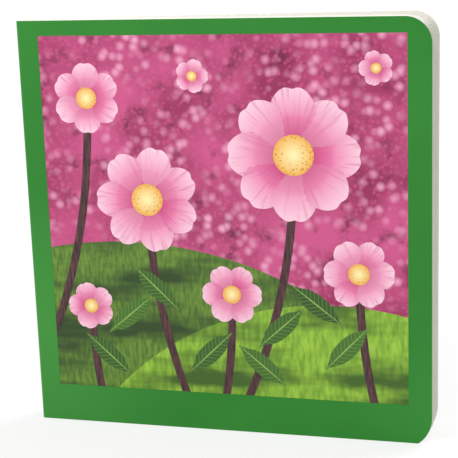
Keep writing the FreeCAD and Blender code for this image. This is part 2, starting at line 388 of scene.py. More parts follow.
def make_green_print():
    material, tree, shader = new_finish("green_print", roughness=0.36, specular=0.3)
    place = own_place(tree)
    ink = between(tree, noise(tree, place, 16.0, detail=3.0), 0.35, 0.65)
    colour = mix(tree, ink, GREEN_DEEP, GREEN)
    # Painted sheen: the green is painted paler near the low spine and fades out further away
    sheen = between(tree, distance_from(tree, SHEEN_AT), SHEEN_FAR, SHEEN_NEAR)
    colour = mix(tree, times(tree, sheen, SHEEN_SHARE), colour, GREEN_SHEEN)
    grain = noise(tree, place, 2600.0, detail=1.0)
    colour = mix(tree, times(tree, grain, 0.05), colour, GREEN_WORN)
    rim = stored(tree, "rim")
    chafing = between(tree, noise(tree, place, 420.0, detail=4.0), 0.38, 0.62)
    worn = times(tree, rim, spread(tree, chafing, 0.4, 1.0))
    colour = mix(tree, worn, colour, GREEN_WORN)
    paint(tree, shader, colour)
    handled = between(tree, noise(tree, place, 38.0, detail=5.0, rough=0.6), 0.3, 0.7)
    tree.links.new(spread(tree, handled, 0.32, 0.42), shader.inputs["Roughness"])
    relief(tree, shader, noise(tree, place, 900.0, detail=2.0), 0.004 * MM)
    return material


green_print = make_green_print()
print("Made", green_print.name)

# %% [markdown]
# ## Card and paper
#
# Where the board was cut its core shows: greyish wood fibre pressed in layers that lie along the
# sheet, between two whiter skins of paper. The layers follow how deep a point is in its board, so
# each board also carries its depth, 0 at one face and 1 at the other, as an attribute. The fore
# edge stands in shade and takes a green light off the wrap, and both are painted: a second
# attribute says where the card is painted darker and green, most on the front cover and less on
# each board behind it. Where a board has none of this painted shade, the card is painted paler,
# standing in for light, and the rear cover, which has none at all, is the whitest. The inside faces
# are coated paper: nearly white, with a faint cloudiness that comes from the pulp.


# %% Make the card edge and the paper
CARD_CORE = tint(230, 227, 216)
CARD_FIBRE = tint(210, 205, 191)
CARD_SKIN = tint(251, 249, 242)
# Painted shade on the fore edge, tinted by painted green light off the wrap, and a paler card
# painted where it is out of that shade, standing in for light
CARD_GREEN_SHADE = tint(156, 180, 152)
CARD_PALE = tint(255, 254, 250)
PAPER = tint(234, 232, 223)
PAPER_CLOUD = tint(228, 226, 215)


def make_card_edge():
    material, tree, shader = new_finish("card_edge", roughness=0.85, specular=0.2)
    place = own_place(tree)
    depth = stored(tree, "depth")
    along = node(tree, "ShaderNodeSeparateXYZ", Vector=place)
    layers = node(
        tree,
        "ShaderNodeCombineXYZ",
        X=times(tree, along.outputs["X"], 90.0),
        Y=times(tree, depth, 9.0),
        Z=times(tree, along.outputs["Z"], 90.0),
    ).outputs[0]
    fibres = between(tree, noise(tree, layers, 1.0, detail=4.0, rough=0.65), 0.35, 0.7)
    colour = mix(tree, times(tree, fibres, 0.6), CARD_CORE, CARD_FIBRE)
    off_middle = maths(tree, "ABSOLUTE", maths(tree, "SUBTRACT", depth, 0.5))
    skin = between(tree, off_middle, 0.30, 0.42)
    colour = mix(tree, skin, colour, CARD_SKIN)
    # Painted shade: the fore edge is painted darker and green, and out of that shade the card is
    # painted paler, as lit
    green_shade = stored(tree, "green_shade")
    colour = mix(tree, times(tree, green_shade, 0.85), colour, CARD_GREEN_SHADE)
    unshaded = between(tree, green_shade, 0.2, 0.0)
    colour = mix(tree, times(tree, unshaded, 0.8), colour, CARD_PALE)
    paint(tree, shader, colour)
    relief(tree, shader, fibres, 0.03 * MM)
    return material


def make_white_paper():
    material, tree, shader = new_finish("white_paper", roughness=0.5, specular=0.35)
    place = own_place(tree)
    cloud = between(tree, noise(tree, place, 240.0, detail=3.0), 0.35, 0.7)
    paint(tree, shader, mix(tree, cloud, PAPER, PAPER_CLOUD))
    relief(tree, shader, noise(tree, place, 3200.0, detail=2.0), 0.003 * MM)
    return material


card_edge = make_card_edge()
white_paper = make_white_paper()
print("Made", card_edge.name, "and", white_paper.name)

# %% [markdown]
# ## A board
#
# A cover board and a leaf are the same thing at two thicknesses: card with the two corners at the
# fore edge rounded by a die. The box's short edges there are bevelled to the die's radius. On this
# book the die for the bottom corner was struck a few millimetres low, so its arc runs out through
# the bottom edge and leaves a slight point. So the box starts that much too long, and is cut to
# length after its corners are round. Then the faces are told apart by the way they face: the
# outside, the inside and the cut. Last, the rims of the two faces get a tiny bevel, because a die
# presses the paper over before it cuts, and a perfectly sharp rim would catch no light.


# %% Shape a board
OUTSIDE, INSIDE, CUT = 0, 1, 2
LOW_RADIUS = 16.0 * MM
STRUCK_LOW = 3.2 * MM
# How far in from the fore edge the painted green shade reaches
GREEN_SHADE_REACH = 4 * MM
TOUCH = 0.01 * MM


def trim(piece, point, outwards):
    """Cuts off what lies beyond a plane and closes the cut."""
    pick_all(piece)
    bpy.ops.mesh.bisect(plane_co=point, plane_no=outwards, clear_outer=True, use_fill=True)
    done_editing()


def add_board(name, low, high):
    """A board with round corners at the fore edge, cut to length along the bottom."""
    board = add_box(name, low - Vector((0, 0, STRUCK_LOW)), high)
    for level, radius in ((high.z, CORNER_RADIUS), (low.z - STRUCK_LOW, LOW_RADIUS)):
        round_edges(board, lambda p: close(p.x, FORE_X) and close(p.z, level), radius, 12)
    trim(board, low, (0, 0, -1))
    return board


def name_faces(board, outside, inside, cut, fold_x):
    """Gives outside, inside and cut their materials. Left of fold_x the wrap goes round."""
    for material in (outside, inside, cut):
        board.data.materials.append(material)
    for face in board.data.polygons:
        upright = abs(face.normal.z) < 0.5
        if face.normal.y < -0.9 or (upright and face.center.x < fold_x and face.normal.y < 0.5):
            face.material_index = OUTSIDE
        elif face.normal.y > 0.9:
            face.material_index = INSIDE
        else:
            face.material_index = CUT


def rim_edges(board, face_kind):
    """The edges where faces of that kind meet the cut."""
    kinds = {}
    for face in board.data.polygons:
        for key in face.edge_keys:
            kinds.setdefault(key, set()).add(face.material_index)
    return {key for key, met in kinds.items() if met == {face_kind, CUT}}


def soften_rim(board, face_kind, width):
    """Rounds the rim of the outside or of the inside over the cut."""
    rim = rim_edges(board, face_kind)
    pick(board, "EDGE", lambda e: tuple(sorted(e.vertices)) in rim)
    bpy.ops.mesh.bevel(
        offset=width, segments=2, affect="EDGES", material=face_kind, clamp_overlap=True
    )
    done_editing()


def write_depth(board, axis, near, far):
    """How deep each point lies in its board, from 0 at the near face to 1 at the far one."""
    depths = [(v.co[axis] - near) / (far - near) for v in board.data.vertices]
    write_values(board, "depth", depths)


def write_rim(board):
    """1 where the wrap meets the cut, 0 elsewhere."""
    cut = {v for f in board.data.polygons if f.material_index == CUT for v in f.vertices}
    write_values(board, "rim", [float(v.index in cut) for v in board.data.vertices])


def write_green_shade(board, share):
    """How much painted green shade the card gets: the share at the fore edge, 0 a few millimetres
    inside it.
    """
    values = [share * max(0.0, 1 - (FORE_X - v.co.x) / GREEN_SHADE_REACH) for v in board.data.vertices]
    write_values(board, "green_shade", values)


# %% [markdown]
# ## The two covers
#
# A cover has one more shape than a leaf: at the spine the wrap goes round its outer edge in a soft
# fold. That edge gets a wide bevel. The rear cover is the front one mirrored, so one board is made,
# copied and flipped. A mirrored mesh is inside out, and its normals are turned back. The rear cover
# then swings open about its hinge line by the angle that the book stands at.


# %% Make the cover boards
RIM_WIDTH = 0.14 * MM
FOLD_SPARE = 0.1 * MM


def make_cover_board(name):
    board = add_board(
        name, Vector((SPINE_X, FRONT_Y, 0)), Vector((FORE_X, FRONT_HINGE_Y, BOOK_HEIGHT))
    )
    round_edges(board, lambda p: close(p.x, SPINE_X) and close(p.y, FRONT_Y), FOLD_RADIUS, 8)
    past_fold = SPINE_X + FOLD_RADIUS + FOLD_SPARE
    name_faces(board, green_print, white_paper, card_edge, fold_x=past_fold)
    soften_rim(board, OUTSIDE, RIM_WIDTH)
    soften_rim(board, INSIDE, RIM_WIDTH / 2)
    write_depth(board, 1, FRONT_Y, FRONT_HINGE_Y)
    write_rim(board)
    write_green_shade(board, 1.0)
    return board


def mirror_to_back(board, name):
    twin = copy_of(board, name)
    twin.scale.y = -1
    twin.location.y = BACK_HINGE_Y + FRONT_HINGE_Y
    settle(twin)
    pick_all(twin)
    bpy.ops.mesh.normals_make_consistent(inside=False)
    done_editing()
    return twin


def swing(piece, hinge, angle):
    """Turns a piece about an upright line through a point, as a hinge does."""
    pivot = Matrix.Translation(hinge)
    piece.data.transform(pivot @ Matrix.Rotation(angle, 4, "Z") @ pivot.inverted())


front_board = make_cover_board("front_board")
back_board = mirror_to_back(front_board, "back_board")
# The rear cover gets no painted green shade, so its cut edge is painted palest
write_green_shade(back_board, 0.0)
swing(back_board, Vector((SPINE_X, BACK_HINGE_Y, 0)), FAN_ANGLE)
report(back_board)

# %% [markdown]
# ## A book that isn't quite square
#
# A board book is glued in one go, and its leaves and rear cover often end up a hair out of line
# with the front. Here they have crept outwards by under a millimetre, most of all at the top of
# the fore edge, where the strip of card edges looks a little wider. The die for the low corner
# also went in askew, so the arc is shorter on every board towards the back. A shape key or a
# lattice could do both. The points are simply moved, by an amount that grows towards each corner.

# %% Let the rear pieces creep out of line
CREEP_ALL = 0.22 * MM
CREEP_TOP = 0.75 * MM
CREEP_FROM = 0.45
CREEP_RISE = 0.3
ASKEW = 0.33
LOW_ARC_TOP = LOW_RADIUS - STRUCK_LOW


def creep(piece, share):
    """Moves the fore edge and its top corner outwards and shortens the low arc, by a share."""
    for point in piece.data.vertices:
        out = share * (point.co.x - SPINE_X) / (FORE_X - SPINE_X)
        up = max(0.0, (point.co.z / BOOK_HEIGHT - CREEP_FROM) / (1 - CREEP_FROM))
        point.co.x += out * (CREEP_ALL + CREEP_TOP * up**2)
        point.co.z += out * CREEP_RISE * CREEP_TOP * up**2
        if point.co.z < LOW_ARC_TOP + TOUCH:
            point.co.z *= 1 - ASKEW * share


creep(back_board, 1.0)
print(f"The rear cover's top corner has crept {(CREEP_ALL + CREEP_TOP) / MM:.2f} mm")

# %% [markdown]
# ## The seat of the picture
#
# The picture's fields of colour lie in a shallow seat in the front board, so that the print ends
# flush with the green round it. The seat could be cut with a Boolean. Four straight cuts through
# the board and one inward extrusion do the same and keep every face flat.

# %% Sink the seat
MOTIF_DEPTH = ground_low.y - FRONT_Y
SEAT_DEPTH = 2 * MOTIF_DEPTH


def cut_across(piece, point, normal):
    pick_all(piece)
    bpy.ops.mesh.bisect(plane_co=point, plane_no=normal)
    done_editing()


for x in (ground_low.x, ground_high.x):
    cut_across(front_board, (x, 0, 0), (1, 0, 0))
for z in (ground_low.z, ground_high.z):
    cut_across(front_board, (0, 0, z), (0, 0, 1))


def in_picture(face):
    return (
        face.normal.y < -0.9
        and ground_low.x < face.center.x < ground_high.x
        and ground_low.z < face.center.z < ground_high.z
    )


sunk = pick(front_board, "FACE", in_picture)
bpy.ops.mesh.extrude_region_move(TRANSFORM_OT_translate={"value": (0, SEAT_DEPTH, 0)})
done_editing()
print("Sank", sunk, "face by", round(SEAT_DEPTH / MM, 2), "mm")
report(front_board)

# %% [markdown]
# ## The leaves
#
# Six thick leaves are glued to each other in a narrow strip along the spine and are free beyond it.
# One leaf is made and copied. Each copy is creased at the gutter: the part beyond it swings open by
# its own share of the fan, which gives the uneven gaps that a handled book has. The crease is a cut
# along the gutter line, and the points beyond it are turned about the leaf's own root.


# %% Make the page block
LEAF_PLAY = 0.01 * MM
LEAF_RIM = 0.12 * MM
# How much less painted green shade the last leaf gets than the first
GREEN_SHADE_FADE = 0.85


def make_leaf():
    front = spine_low[1]
    leaf = add_board(
        "leaf",
        Vector((block_low[0], front + LEAF_PLAY, 0)),
        Vector((FORE_X, front + LEAF_BOARD - LEAF_PLAY, BOOK_HEIGHT)),
    )
    name_faces(leaf, white_paper, white_paper, card_edge, fold_x=SPINE_X)
    soften_rim(leaf, OUTSIDE, LEAF_RIM)
    soften_rim(leaf, INSIDE, LEAF_RIM)
    write_depth(leaf, 1, front, front + LEAF_BOARD)
    cut_across(leaf, (GUTTER_X, 0, 0), (1, 0, 0))
    return leaf


def open_leaf(leaf, root_y, angle):
    """Swings what lies beyond the gutter about the leaf's root."""
    root = Vector((GUTTER_X, root_y, 0))
    turn = Matrix.Rotation(angle, 3, "Z")
    for point in leaf.data.vertices:
        if point.co.x > GUTTER_X + TOUCH:
            point.co = root + turn @ (point.co - root)


first_leaf = make_leaf()
leaves = []
for n, share in enumerate(LEAF_SWING):
    leaf = copy_of(first_leaf, f"leaf_{n}")
    leaf.location.y = n * LEAF_BOARD
    settle(leaf)
    write_green_shade(leaf, 1 - GREEN_SHADE_FADE * n / (len(LEAF_SWING) - 1))
    open_leaf(leaf, spine_low[1] + n * LEAF_BOARD, share * FAN_ANGLE)
    creep(leaf, (n + 1) / len(LEAF_SWING))
    leaves.append(leaf)
bpy.data.objects.remove(first_leaf)
page_leaves = join_as("page_leaves", leaves)
report(page_leaves)

# %% [markdown]
# ## The spine
#
# Between the two folds the wrap runs over the glued backs of the leaves. It is a flat strip of the
# same printed board. Only its top and bottom ends were cut, so only they show the core. It lies a
# few hundredths of a millimetre deeper than the folds, so that a cover laid right back rests
# against it and doesn't cut into it.

# %% Make the spine strip
SPINE_SET_BACK = 0.04 * MM

set_back = Vector(spine_low) + Vector((SPINE_SET_BACK, 0, 0))
spine_strip = add_box("spine_strip", set_back, spine_high)
for material in (green_print, white_paper, card_edge):
    spine_strip.data.materials.append(material)
for face in spine_strip.data.polygons:
    if face.normal.x < -0.9:
        face.material_index = OUTSIDE
    else:
        face.material_index = CUT if abs(face.normal.z) > 0.5 else INSIDE
soften_rim(spine_strip, OUTSIDE, RIM_WIDTH)
write_rim(spine_strip)
write_depth(spine_strip, 0, spine_low[0], spine_high[0])
report(spine_strip)

# %% [markdown]
# ## The folds of the wrap
#
# Between the spine and a cover the printed wrap alone goes on, over a narrow seam, and there it
# bends when the book opens. Each seam gets a thin strip of wrap of its own that starts on the spine
# and ends on the cover. It is cut into narrow bands so that it can bend smoothly, and its print is
# worn a little paler along the middle, where a crease rubs first.

# %% Make the folds of the wrap
WRAP = 0.03 * MM
FOLD_LAP = 0.35 * MM
FOLD_BANDS = 10
FOLD_WEAR = 0.35


def make_wrap_fold(name, spine_y, hinge_y):
    """A strip of wrap over the seam between the spine and a cover's hinge line."""
    lap = FOLD_LAP if hinge_y > spine_y else -FOLD_LAP
    start, stop = sorted((spine_y - lap, hinge_y + lap))
    inner_x = SPINE_X + 2 * SPINE_SET_BACK
    fold = add_box(name, (SPINE_X - WRAP, start, 0), (inner_x, stop, BOOK_HEIGHT))
    for n in range(1, FOLD_BANDS):
        cut_across(fold, (0, start + (stop - start) * n / FOLD_BANDS, 0), (0, 1, 0))
    fold.data.materials.append(green_print)
    middle = (spine_y + hinge_y) / 2
    worn = [max(0.0, 1 - abs(v.co.y - middle) / abs(lap)) for v in fold.data.vertices]
    write_values(fold, "rim", [FOLD_WEAR * share for share in worn])
    return fold


def lean_with_cover(piece, start_y, end_y):
    """Turns a piece about the rear hinge: not at all up to start_y, like the cover from end_y."""
    hinge = Vector((SPINE_X, BACK_HINGE_Y, 0))
    for point in piece.data.vertices:
        share = min(1.0, max(0.0, (point.co.y - start_y) / (end_y - start_y)))
        point.co = hinge + Matrix.Rotation(share * FAN_ANGLE, 3, "Z") @ (point.co - hinge)


front_fold = make_wrap_fold("front_fold", spine_low[1], FRONT_HINGE_Y)
back_fold = make_wrap_fold("back_fold", spine_high[1], BACK_HINGE_Y)
lean_with_cover(back_fold, spine_high[1], BACK_HINGE_Y)
report(front_fold)

# %% [markdown]
# ## The hinge papers
#
# Inside each cover a strip of white paper joins the cover's inner face to the first or last leaf.
# It lies folded in the gap while the book is shut, and it closes the gutter when the book is
# opened. A small flat face stands in the gap at the fold. It is spun half a turn to make the fold,
# and its two ends are then drawn out, one along the leaf and one along the cover. Only the fold
# itself bends: each flap keeps clear of the bending zone, or it would peel off its board as the
# cover opens.

# %% Fold the hinge papers
HINGE_PAPER = 0.05 * MM
PAPER_LAP = 8.0 * MM
PAPER_INSIDE = 0.25 * MM
PAPER_CLEAR = 0.03 * MM
FOLD_STEPS = 8
FLAP_DEPTH = 0.08 * MM
HAIR = 0.002 * MM


def make_hinge_paper(name, leaf_y, cover_y):
    """A paper folded in the gap, from the leaf's face round to the cover's."""
    middle = Vector((SPINE_X + PAPER_INSIDE, (leaf_y + cover_y) / 2, BOOK_HEIGHT / 2))
    rise = abs(cover_y - leaf_y) / 2 - PAPER_CLEAR
    place = middle - Vector((0, rise, 0))
    paper = add_plate(name, (BOOK_HEIGHT, HINGE_PAPER), place, (0, pi / 2, 0))
    spin(paper, FOLD_STEPS, pi, middle, (0, 0, 1))
    pick(paper, "FACE", lambda f: abs(f.normal.x) > 0.9 and close(f.center.x, middle.x, HAIR))
    bpy.ops.mesh.extrude_region_move(TRANSFORM_OT_translate={"value": (PAPER_LAP, 0, 0)})
    done_editing()
    weld(paper)
    paper.data.materials.append(white_paper)
    return paper


front_paper = make_hinge_paper("front_hinge_paper", spine_low[1], FRONT_HINGE_Y)
back_paper = make_hinge_paper("back_hinge_paper", spine_high[1], BACK_HINGE_Y)
lean_with_cover(back_paper, spine_high[1] + FLAP_DEPTH, BACK_HINGE_Y - FLAP_DEPTH)
report(back_paper)
paper_reach = max(v.co.x for v in back_paper.data.vertices) - SPINE_X
print("It reaches", round(paper_reach / MM, 2), "mm in")

# %% [markdown]
# ## The printed picture: sky and hills
#
# The picture is printed with the wrap, under the same varnish. Its ground is three flat fields
# that the frame already holds in the right shape: a pink sky and two hills. They keep their solids
# and only get a print. The sky is dappled with soft blossom spots, made with Voronoi cells whose
# middles are pale. The hills get short upright strokes for grass, and slow bands of shade that lie
# across them, both from noise that is stretched one way.

# %% Print the sky and the hills
VARNISH = 0.34
SKY_SHADE = tint(104, 18, 58)
SKY_DEEP = tint(150, 38, 88)
SKY_MIDDLE = tint(205, 84, 138)
SKY_PALE = tint(240, 166, 200)


def new_print(name):
    """A finish for printed paper under the book's varnish."""
    return new_finish(name, roughness=VARNISH, specular=0.4)


def blossom_spots(tree, place, scale, size):
    """Soft round spots, 1 in their middles, a given number to the metre."""
    cells = node(
        tree,
        "ShaderNodeTexVoronoi",
        {"feature": "SMOOTH_F1"},
        Vector=place,
        Scale=scale,
        Smoothness=0.35,
        Randomness=1.0,
    )
    return between(tree, cells.outputs["Distance"], size, 0.25 * size)


def flat_place(tree):
    """The surface's place with its depth left out, so that a print doesn't change with relief."""
    return node(tree, "ShaderNodeMapping", Vector=own_place(tree), Scale=(1, 0, 1)).outputs[0]


def make_sky_print():
    material, tree, shader = new_print("sky_print")
    place = flat_place(tree)
    drift = between(tree, noise(tree, place, 26.0, detail=3.0), 0.36, 0.64)
    colour = mix(tree, drift, SKY_DEEP, SKY_MIDDLE)
    shade = between(tree, noise(tree, place, 74.0, detail=4.0, rough=0.6), 0.46, 0.34)
    colour = mix(tree, times(tree, shade, 0.75), colour, SKY_SHADE)
    fine = blossom_spots(tree, place, 420.0, 0.5)
    colour = mix(tree, times(tree, fine, 0.7), colour, SKY_MIDDLE)
    broad = blossom_spots(tree, place, 190.0, 0.52)
    clusters = between(tree, noise(tree, place, 34.0, detail=2.0), 0.40, 0.60)
    colour = mix(tree, times(tree, broad, clusters), colour, SKY_PALE)
    paint(tree, shader, colour)
    return material


def make_grass_print(name, shade, middle, light, strokes):
    """Grass: upright strokes over slow bands of shade, the strokes a given number to the metre."""
    material, tree, shader = new_print(name)
    place = flat_place(tree)
    blades = noise(tree, place, strokes, detail=3.0, stretch=(1.0, 1.0, 0.28))
    colour = mix(tree, between(tree, blades, 0.36, 0.64), middle, light)
    bands = noise(tree, place, 42.0, detail=3.0, rough=0.55, stretch=(0.35, 1.0, 1.3))
    colour = mix(tree, between(tree, bands, 0.56, 0.40), colour, shade)
    paint(tree, shader, colour)
    return material


FAR_GRASS = tint(38, 66, 20), tint(74, 110, 34), tint(108, 146, 48)
NEAR_GRASS = tint(58, 96, 22), tint(112, 160, 40), tint(156, 200, 62)
GROUND_PRINTS = {
    "picture_sky": make_sky_print(),
    "picture_far_hill": make_grass_print("far_grass", *FAR_GRASS, 620.0),
    "picture_near_hill": make_grass_print("near_grass", *NEAR_GRASS, 420.0),
}
for name, material in GROUND_PRINTS.items():
    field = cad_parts[name]
    field.data.materials.clear()
    field.data.materials.append(material)
print("Printed", ", ".join(GROUND_PRINTS))

# %% [markdown]
# ## The printed flowers: where they stand
#
# The flowers, their stems and the leaves lie over the ground. The frame has them as plain discs
# and arcs. A print has more in it: petals that lap over each other and pale towards their tips,
# veins, and leaves with a midrib. So these fields get meshes of their own, in the same places.
# Each lies on the ground and stays under the cover's face, one above the other by a few
# thousandths of a millimetre, which no one sees or feels.

# %% Set out the flowers
PICTURE_WIDTH = ground_high.x - ground_low.x
PICTURE_HEIGHT = ground_high.z - ground_low.z
GROUND_Y = ground_low.y

# Each flower: its heart's place as shares of the picture, its reach in millimetres, how many petals
# it has, and the side its stem bows to, or 0 with no stem
FLOWERS = [
    (0.70, 0.68, 32.0, 8, -1),
    (0.29, 0.55, 26.0, 7, 1),
    (0.87, 0.36, 17.0, 6, 1),
    (0.13, 0.83, 17.0, 6, -1),
    (0.52, 0.29, 15.0, 6, -1),
    (0.11, 0.24, 12.0, 5, 1),
    (0.43, 0.89, 8.0, 5, 0),
    (0.92, 0.91, 8.0, 5, 0),
]

# Each leaf: its middle as shares of the picture, and its turn from upright in degrees
PICTURE_LEAVES = [
    (0.755, 0.27, 52.0),
    (0.655, 0.20, -48.0),
    (0.225, 0.22, -50.0),
    (0.305, 0.30, 46.0),
    (0.835, 0.15, -44.0),
    (0.455, 0.12, -46.0),
    (0.600, 0.09, 50.0),
    (0.155, 0.10, 48.0),
]
STEM_BOW = 300.0 * MM
STEM_WIDTH = 4.0 * MM
LEAF_ARC = 26.0 * MM
LEAF_WIDTH = 9.0 * MM

# How high each kind of field ends above the ground, as shares of the motifs' depth
STEM_LEVEL, LEAF_LEVEL, PETAL_LEVEL, PETAL_STEP, HEART_LEVEL = 0.25, 0.35, 0.45, 0.05, 0.95


def in_the_picture(x_share, z_share):
    """A point of the picture's ground."""
    x = ground_low.x + x_share * PICTURE_WIDTH
    return Vector((x, GROUND_Y, ground_low.z + z_share * PICTURE_HEIGHT))


print(f"Picture {PICTURE_WIDTH / MM:.1f} by {PICTURE_HEIGHT / MM:.1f} mm, {len(FLOWERS)} flowers")

# %% [markdown]
# ## One petal, copied round every flower
#
# A petal starts as a thin disc that stands on the ground. Its root is drawn in, in three steps,
# and its tip gets a shallow notch, by moving the points there. It is modelled with the flower's
# heart at the origin, and its UV map is simply that flat place. So the map stays with the petal
# when it is copied, turned and scaled, and the print can follow it from the heart to the tip. A
# small disc under the roots closes the slots that would be left between them.

# %% Model a petal and set the petals out
PETAL_MIDDLE = 0.62
PETAL_POINTS = 64
PETAL_SLIMMEST = 0.34
PETAL_SPREAD = 0.78
ROOT_DISC = 0.50

# The heights where a petal is drawn in, and its notch: how far from its middle line, and how deep
DRAW_IN_LEVELS = (0.58, 0.47, 0.37)
NOTCH = ((0.115, 0.006), (0.08, 0.012), (0.045, 0.014), (0.012, 0.010))


def flat_map(piece, across, along):
    """Writes each point's flat place, as shares of two lengths, into the piece's UV map."""
    layer = piece.data.uv_layers.active or piece.data.uv_layers.new(name="UVMap")
    for loop in piece.data.loops:
        place = piece.data.vertices[loop.vertex_index].co
        layer.data[loop.index].uv = (place.x / across, place.z / along)


def flat_disc(name, points, across, along, middle, level):
    """A thin oval on the ground, of that half width and half length and middle height."""
    deselect_all()
    bpy.ops.mesh.primitive_cylinder_add(
        vertices=points, radius=1.0, depth=1.0, rotation=(pi / 2, 0, 0)
    )
    disc = bpy.context.object
    disc.name = disc.data.name = name
    settle(disc)
    thick = level * MOTIF_DEPTH
    disc.scale = (across, thick, along)
    disc.location = (0, -thick / 2, middle)
    settle(disc)
    return disc


def model_petal(petals):
    """A petal of reach 1, for a flower with that many, with the heart at the origin."""
    half_width = max(PETAL_SLIMMEST, PETAL_SPREAD * sin(pi / petals))
    draw_in = 0.88 if petals > 6 else 0.96
    along = 1.0 - PETAL_MIDDLE
    petal = flat_disc("petal", PETAL_POINTS, half_width, along, PETAL_MIDDLE, PETAL_LEVEL)
    for level in DRAW_IN_LEVELS:
        pick(petal, "VERT", lambda v: v.co.z < level)
        bpy.ops.transform.resize(value=(draw_in, 1, 1), center_override=(0, 0, level))
        done_editing()
    for reach, depth in NOTCH:
        pick(petal, "VERT", lambda v: abs(v.co.x) < reach and v.co.z > PETAL_MIDDLE)
        bpy.ops.transform.translate(value=(0, 0, -depth))
        done_editing()
    flat_map(petal, 1.0, 1.0)
    return petal


def set_tone(piece, value):
    """A share of its own for each printed piece, so that no two are the same tint."""
    write_values(piece, "tone", [value] * len(piece.data.vertices))


def place_flat(piece, place, turn, size, lift=0.0):
    """Turns a flat piece about the origin, scales it in its own plane and lays it on the ground."""
    piece.rotation_euler.y = turn
    piece.scale = (size, 1, size)
    piece.location = place - Vector((0, lift, 0))
    settle(piece)


petals = []
for n, (x, z, reach, count, _) in enumerate(FLOWERS):
    model = model_petal(count)
    roots = flat_disc(f"roots_{n}", 32, ROOT_DISC, ROOT_DISC, 0.0, PETAL_LEVEL - PETAL_STEP)
    flat_map(roots, 1.0, 1.0)
    place_flat(roots, in_the_picture(x, z), 0.0, reach * MM)
    set_tone(roots, 0.1)
    petals.append(roots)
    for k in range(count):
        petal = copy_of(model, f"petal_{n}_{k}")
        lapped = k * PETAL_STEP * MOTIF_DEPTH
        turn = pi / 2 - 2 * pi * (k + 0.5 * (n % 2)) / count
        place_flat(petal, in_the_picture(x, z), turn, reach * MM, lapped)
        set_tone(petal, (0.37 * n + 0.61 * k) % 1.0)
        petals.append(petal)
    bpy.data.objects.remove(model)
printed_petals = join_as("printed_petals", petals)
report(printed_petals)

# %% [markdown]
# ## The hearts
#
# Each flower's heart is a low disc over the roots of the petals. It is modelled at reach 1 like a
# petal, so that its own map can carry the ring of pollen dots.

# %% Set out the hearts
HEART_SHARE = 0.30

hearts = []
for n, (x, z, reach, _, _) in enumerate(FLOWERS):
    heart = flat_disc(f"heart_{n}", 48, HEART_SHARE, HEART_SHARE, 0.0, HEART_LEVEL)
    flat_map(heart, HEART_SHARE, HEART_SHARE)
    place_flat(heart, in_the_picture(x, z), 0.0, reach * MM)
    set_tone(heart, (0.43 * n) % 1.0)
    hearts.append(heart)
printed_hearts = join_as("printed_hearts", hearts)
report(printed_hearts)

# %% [markdown]
# ## The stems
#
# A stem is an arc of even width. A small flat face is placed where the stem meets its flower, and
# spun about the far centre of the bow, down past the picture's bottom edge. What reaches past the
# bottom edge or the side is then cut off along that edge.

# %% Spin the stems
STEM_STEPS = 40


def make_stem(name, heart, side):
    """Spins the stem from the heart downwards about the centre of its bow."""
    centre = heart + Vector((side * STEM_BOW, 0, 0))
    thick = STEM_LEVEL * MOTIF_DEPTH
    drop = heart.z - ground_low.z + STEM_WIDTH
    angle = side * asin(drop / STEM_BOW)
    stem = add_plate(name, (STEM_WIDTH, thick), (heart.x, heart.y - thick / 2, heart.z))
    spin(stem, STEM_STEPS, angle, centre, (0, 1, 0))
    weld(stem)
    trim(stem, ground_low, (0, 0, -1))
    trim(stem, ground_low, (-1, 0, 0))
    return stem


stems = []
for n, (x, z, _, _, side) in enumerate(FLOWERS):
    if side:
        stems.append(make_stem(f"stem_{n}", in_the_picture(x, z), side))
printed_stems = join_as("printed_stems", stems)
report(printed_stems)

# %% [markdown]
# ## The leaves in the picture
#
# A pointed leaf is a long thin oval whose two ends are drawn out. Its map runs from -1 to 1 along
# the leaf and across it, for the midrib and the side veins.

# %% Set out the printed leaves
LEAF_STEP = 0.01
LEAF_SWELL = 1.05
LEAF_OVAL = 0.80
TIP_SLIMS = 0.80

# Where a leaf's tip is drawn out, and how far
LEAF_TIP = ((0.60, 0.03), (0.72, 0.05), (0.83, 0.06), (0.93, 0.08))

half_width = LEAF_WIDTH / 2
half_length = (LEAF_ARC**2 - (LEAF_ARC - half_width) ** 2) ** 0.5


def model_leaf():
    """A pointed leaf of half length 1, upright, with its middle at the origin."""
    slim = half_width / half_length
    leaf = flat_disc("printed_leaf", 48, slim * LEAF_SWELL, LEAF_OVAL, 0.0, LEAF_LEVEL)
    for end in (-1, 1):
        for level, out in LEAF_TIP:
            pick(leaf, "VERT", lambda v: v.co.z * end > level)
            bpy.ops.transform.translate(value=(0, 0, end * out))
            bpy.ops.transform.resize(value=(TIP_SLIMS, 1, 1), center_override=(0, 0, 0))
            done_editing()
    flat_map(leaf, slim, 1.0)
    return leaf


leaf_model = model_leaf()
picture_leaves = []
for n, (x, z, turn) in enumerate(PICTURE_LEAVES):
    leaf = copy_of(leaf_model, f"picture_leaf_{n}")
    lift = n * LEAF_STEP * MOTIF_DEPTH
    place_flat(leaf, in_the_picture(x, z), -radians(turn), half_length, lift)
    set_tone(leaf, (0.47 * n) % 1.0)
    picture_leaves.append(leaf)
bpy.data.objects.remove(leaf_model)
printed_leaves = join_as("printed_leaves", picture_leaves)
report(printed_leaves)

# %% [markdown]
# ## Printing the flowers
#
# Each print reads its piece's own map. A petal is deep pink at its root and pale at its tip, with
# veins that fan out: noise over the direction from the heart, which changes little along the petal.
# A heart is warm yellow with a ring of darker pollen dots. A leaf has a pale midrib and side veins
# that slant towards its tip. The stems are nearly black brown, with bark-like streaks.


# %% Make the flower prints
def own_map(tree):
    place = node(tree, "ShaderNodeUVMap", {"uv_map": "UVMap"})
    parts = node(tree, "ShaderNodeSeparateXYZ", Vector=place.outputs[0])
    return place.outputs[0], parts.outputs["X"], parts.outputs["Y"]


def own_tone(tree):
    return stored(tree, "tone")


